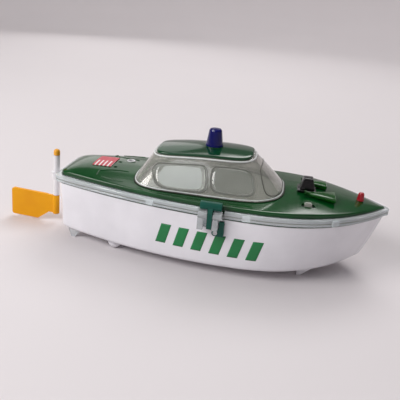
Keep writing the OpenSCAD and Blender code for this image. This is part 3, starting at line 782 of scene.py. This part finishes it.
def make_seams(deck):
    """The dark lines, painted shade, where the rim meets the hull and the deck and in the rim's groove,
    and the raised ribs of the aft deck.
    """
    hull_seam = outline(1.5, 3.6, 3.6, HULL_TOP - 0.95)
    deck_seam = outline(RIM_WIDE - 0.05, height=DECK_Z + 0.2)
    rim_groove_shade = outline(0.42, height=62.55)
    bead("hull_seam", placed(hull_seam), 0.5, SEAM_GREEN, "hull")
    bead("deck_seam", placed(deck_seam), 0.5, SEAM_GREEN, "deck")
    # A grey bead along the rim's groove: painted shade in the groove
    bead("rim_groove_shade", placed(rim_groove_shade), 0.3, PANE_BEAD_SHADE, "hull")
    skin = surface_of(deck)
    long_rib = rounded([(44, 24), (52, 20.5), (62, 18.6), (73, 18)], closed=False)
    low_rib = rounded([(50, 33.5), (58, 36), (66, 37.6), (73, 38.8)], closed=False)
    step = [(44, y) for y in (24, 26, 28, 30, 32)]
    for side, tag in SIDES:
        for name, line, radius in (("long_rib", long_rib, 0.55), ("low_rib", low_rib, 0.5),
                                   ("step", step, 0.6)):
            path = [drape(skin, (x, side * y, ABEAM), (0, 0, -1), 0.05) for x, y in line]
            bead(f"aft_deck_{name}_{tag}", path, radius, DECK_GREEN, "deck", closed=False)


def make_skegs():
    """Two fins under the bow, narrow at the foot and run into the bottom at the top."""
    bm = bmesh.new()
    for side, _ in SIDES:
        made = bmesh.ops.create_cube(bm, size=1.0)["verts"]
        for v in made:
            low = v.co.z < 0
            aft_x, fore_x = (243, 246.2) if low else (242, 260)
            x = aft_x if v.co.x < 0 else fore_x
            v.co = place(x, side * SKEG_Y + v.co.y * 2.4, 0.0 if low else hull_bottom(x) + 1.5)
        round_edges(bm, made, 0.5)
    finish_piece("bow_skeg_mouldings", bm, WHITE_ABS, "hull", ["bow_skegs"])


def dress_cad_nodes():
    """Gives each node that stays as the CAD made it the finish of its material."""
    finishes = {
        WHITE_ABS: ["hull_feet"],
        WHITE_POM: ["rudder_tube", "rudder_bracket", "propeller", "vent_cup"],
        CLEAR_RIM: ["stern_skids", "latch_cheeks"],
        SEAL_RUBBER: ["deck_seal"],
        AMBER_PP: ["rudder_blade"],
        ORANGE_CAP: ["rudder_cap"],
        DRAWN_STEEL: ["rudder_shaft", "prop_shaft", "motor_clamp", "saddle_screws",
                      "battery_springs", "battery_plates", "latch_pins", "tab_rivets"],
        BRASS_STRIP: ["stern_tube", "power_strips", "beacon_holder", "switch_contact"],
        BLACK_ABS: ["shaft_coupling", "motor_end_cap", "battery_tray", "switch_body",
                    "deck_plug_socket"],
        MOTOR_CAN: ["motor_case"],
        COPPER_COIL: ["motor_rotor"],
        GREY_ABS: ["motor_saddle", "cabin_floor"],
        CELL_SLEEVE: ["battery_cells"],
        TEAL_PP: ["latch_starboard", "latch_port", "turn_tab_starboard", "turn_tab_port"],
        BLUE_LENS: ["beacon_lens"],
        BULB_GLASS: ["beacon_bulb"],
        RED_LENS: ["bow_lamp"],
        CLEAT_PLATE: ["mooring_cleats"],
        LABEL_FILM: ["deck_label"],
    }
    for material, names in finishes.items():
        for name in names:
            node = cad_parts[name]
            node.data.materials.clear()
            node.data.materials.append(material)


# ---- studio -------------------------------------------------------------------------

# Metres here: a round floor that curves up into a wall, with its top face just under the boat
FLOOR_RADIUS = 2.2
CURVE_RADIUS = 0.5
WALL_TOP = 1.0
FLOOR_Z = -0.0001

# Each lamp's name, place, size, power and colour
LAMPS = (("window_light", (-1.25, -0.8, 1.05), 0.9, 19, (1.0, 0.975, 0.96)),
         ("pane_light", (-0.5, -1.02, 1.08), 0.75, 3.2, (0.92, 0.96, 1.0)),
         ("ceiling_light", (0.1, 1.0, 1.9), 2.2, 19, (1.0, 0.98, 0.97)),
         ("back_wash_light", (0.3, 2.0, 2.2), 1.4, 17, (1.0, 0.98, 0.98)),
         ("left_card_light", (-0.85, 1.7, 0.75), 1.1, 2.5, (1.0, 0.98, 0.97)))
LAMP_AIM = (0, 0, 0.05)
AIR_COLOUR = "EDE9EA"
AIR_STRENGTH = 0.2

CAMERA_SPOT = (208.206, -456.568, 241.473)
CAMERA_RIGHT = (0.98119, 0.17768, 0.07548)
CAMERA_UP = (-0.13756, 0.36922, 0.91910)
CAMERA_BACK = (0.13544, -0.91220, 0.38672)
CAMERA_LENS = 45
CAMERA_SENSOR = 36


def make_backdrop():
    paper = moulded("backdrop_paper", "DDD8DA", "DBD6D8", 0.85, mottle_mm=600.0)
    bm = bmesh.new()
    sweep = [(0.0, 0.0), (FLOOR_RADIUS, 0.0)]
    for degrees in range(15, 91, 15):
        turn = radians(degrees)
        sweep.append((FLOOR_RADIUS + CURVE_RADIUS * sin(turn), CURVE_RADIUS - CURVE_RADIUS * cos(turn)))
    sweep.append((FLOOR_RADIUS + CURVE_RADIUS, WALL_TOP))
    verts = [bm.verts.new((radius, 0, z + FLOOR_Z)) for radius, z in sweep]
    edges = [bm.edges.new(pair) for pair in zip(verts, verts[1:])]
    bmesh.ops.spin(bm, geom=verts + edges, cent=(0, 0, 0), axis=(0, 0, 1), angle=2 * pi, steps=96,
                   use_merge=True)
    bmesh.ops.remove_doubles(bm, verts=bm.verts, dist=1e-5)
    bmesh.ops.recalc_face_normals(bm, faces=bm.faces)
    mesh = bpy.data.meshes.new("backdrop")
    bm.to_mesh(mesh)
    bm.free()
    for face in mesh.polygons:
        face.use_smooth = True
    mesh.materials.append(paper)
    backdrop = bpy.data.objects.new("backdrop", mesh)
    bpy.context.scene.collection.objects.link(backdrop)


def make_lights():
    for name, spot, size, power, colour in LAMPS:
        lamp = bpy.data.lights.new(name, "AREA")
        lamp.shape = "DISK"
        lamp.size = size
        lamp.energy = power
        lamp.color = colour
        holder = bpy.data.objects.new(name, lamp)
        holder.location = spot
        heading = Vector(LAMP_AIM) - Vector(spot)
        holder.rotation_euler = heading.to_track_quat("-Z", "Y").to_euler()
        bpy.context.scene.collection.objects.link(holder)
    world = bpy.data.worlds.new("studio_air")
    bpy.context.scene.world = world
    world.use_nodes = True
    air = world.node_tree.nodes["Background"]
    air.inputs["Color"].default_value = linear(AIR_COLOUR)
    air.inputs["Strength"].default_value = AIR_STRENGTH


def make_camera():
    bpy.context.scene.view_settings.view_transform = "Standard"
    lens = bpy.data.cameras.new("studio_camera")
    lens.sensor_width = CAMERA_SENSOR
    lens.lens = CAMERA_LENS
    camera = bpy.data.objects.new("studio_camera", lens)
    turn = Matrix((CAMERA_RIGHT, CAMERA_UP, CAMERA_BACK)).transposed().to_4x4()
    camera.matrix_world = Matrix.Translation(place(*CAMERA_SPOT)) @ turn
    bpy.context.scene.collection.objects.link(camera)
    bpy.context.scene.camera = camera


hull = make_hull()
make_rim()
make_seams(make_deck())
make_canopy()
make_roof()
make_horn(-1, "horn_starboard", 267.6)
make_horn(1, "horn_port", 261)
make_knob()
make_marking(hull)
make_rim_clips()
make_skegs()
dress_cad_nodes()
make_backdrop()
make_lights()
make_camera()
